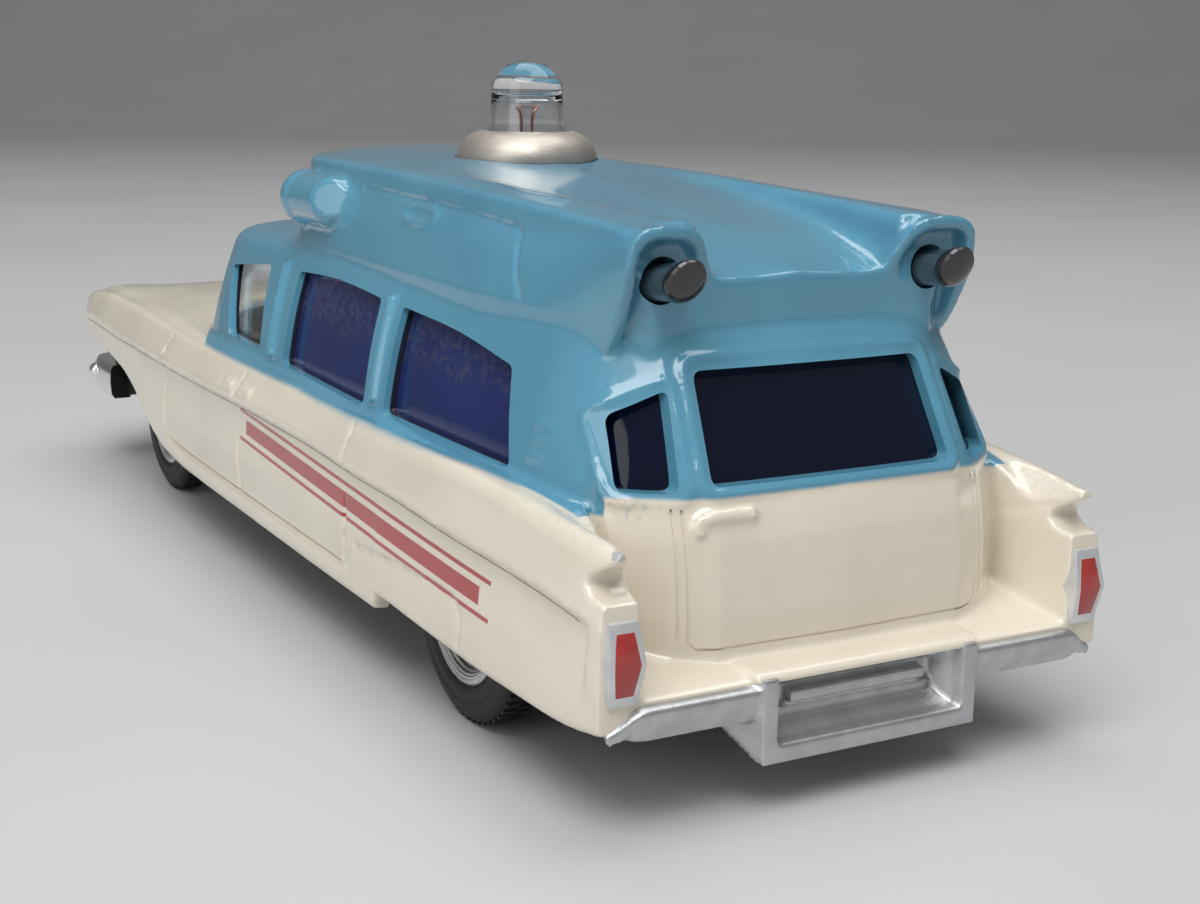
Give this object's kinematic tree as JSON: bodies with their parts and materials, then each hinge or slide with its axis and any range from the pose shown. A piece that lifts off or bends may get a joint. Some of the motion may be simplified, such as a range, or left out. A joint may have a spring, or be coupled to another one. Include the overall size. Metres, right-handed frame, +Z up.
{
  "type": "toy ambulance",
  "caption": "Die-cast toy ambulance: two-tone body with a raised roof and tail fins, tinted windows, clear roof beacon bulb, rolling wheels, steerable front axle and a battery hatch below.",
  "frame": {"origin": "on the ground under the middle of the bounding box", "axes": "+X forward (bonnet), +Y to the left side, +Z up"},
  "size_m": [0.127, 0.041, 0.046],
  "materials": {
    "casting": "gloss enamel, blue above and ivory below",
    "tinplate": "satin black enamel",
    "chrome": "bright plating",
    "clear": "clear moulding",
    "tinted": "deep blue moulding",
    "smoke": "smoked translucent moulding",
    "tray": "matt moulding",
    "fibre": "insulating fibre",
    "wheel_red": "gloss moulding",
    "collar": "satin, warm grey",
    "brass": "bright strip",
    "cell": "printed can, no text",
    "steel": "drawn wire and pressings",
    "hub": "spun",
    "tyre": "ribbed rubber",
    "bulb_glass": "clear lens-end bulb",
    "filament": "copper-coloured wire"
  },
  "bodies": {
    "body": {"body_shell": "casting", "base_plate": "tinplate", "base_rivets": "steel", "grille_bumper": "chrome", "glazing_front": "clear", "glazing_rear": "tinted", "rear_roof_lamp_left": "smoke", "rear_roof_lamp_right": "smoke", "seat_tray": "tray", "steering_wheel": "wheel_red", "beacon_collar": "collar", "lamp_socket": "brass", "socket_insulator": "fibre", "lamp_contact": "brass", "feed_strip": "brass", "battery_cradle": "fibre", "battery_cell": "cell", "battery_contact_front": "brass", "battery_contact_rear": "brass", "contact_wiper": "brass", "steer_pin": "steel", "rear_axle_bracket": "steel", "hatch_pin": "steel"},
    "front_carriage": {"front_axle_bracket": "steel"},
    "front_wheels": {"front_axle": "steel", "front_hub_left": "hub", "front_hub_right": "hub", "front_tyre_left": "tyre", "front_tyre_right": "tyre"},
    "rear_wheels": {"rear_axle": "steel", "contact_cam": "fibre", "rear_hub_left": "hub", "rear_hub_right": "hub", "rear_tyre_left": "tyre", "rear_tyre_right": "tyre"},
    "hatch": {"battery_hatch": "tinplate"},
    "bulb": {"bulb_glass": "bulb_glass", "bulb_cap": "brass", "bulb_filament": "filament"}
  },
  "joints": [
    {"name": "front_steer", "type": "hinge", "parent": "body", "child": "front_carriage", "pos_m": [0.0371, 0, 0.0118], "axis": [0, 0, 1], "range_deg": [-9, 9], "stiffness_Nm_per_rad": 0.004},
    {"name": "front_axle_spin", "type": "hinge", "parent": "front_carriage", "child": "front_wheels", "pos_m": [0.0371, 0, 0.0083], "axis": [0, 1, 0], "continuous": true},
    {"name": "rear_axle_spin", "type": "hinge", "parent": "body", "child": "rear_wheels", "pos_m": [-0.0402, 0, 0.0083], "axis": [0, 1, 0], "continuous": true},
    {"name": "battery_hatch_hinge", "type": "hinge", "parent": "body", "child": "hatch", "pos_m": [-0.0355, 0, 0.00715], "axis": [0, 1, 0], "range_deg": [0, 95]},
    {"name": "bulb_unscrew", "type": "hinge", "parent": "body", "child": "bulb", "pos_m": [-0.0146, 0, 0.0378], "axis": [0, 0, 1], "range_deg": [0, 720]}
  ]
}
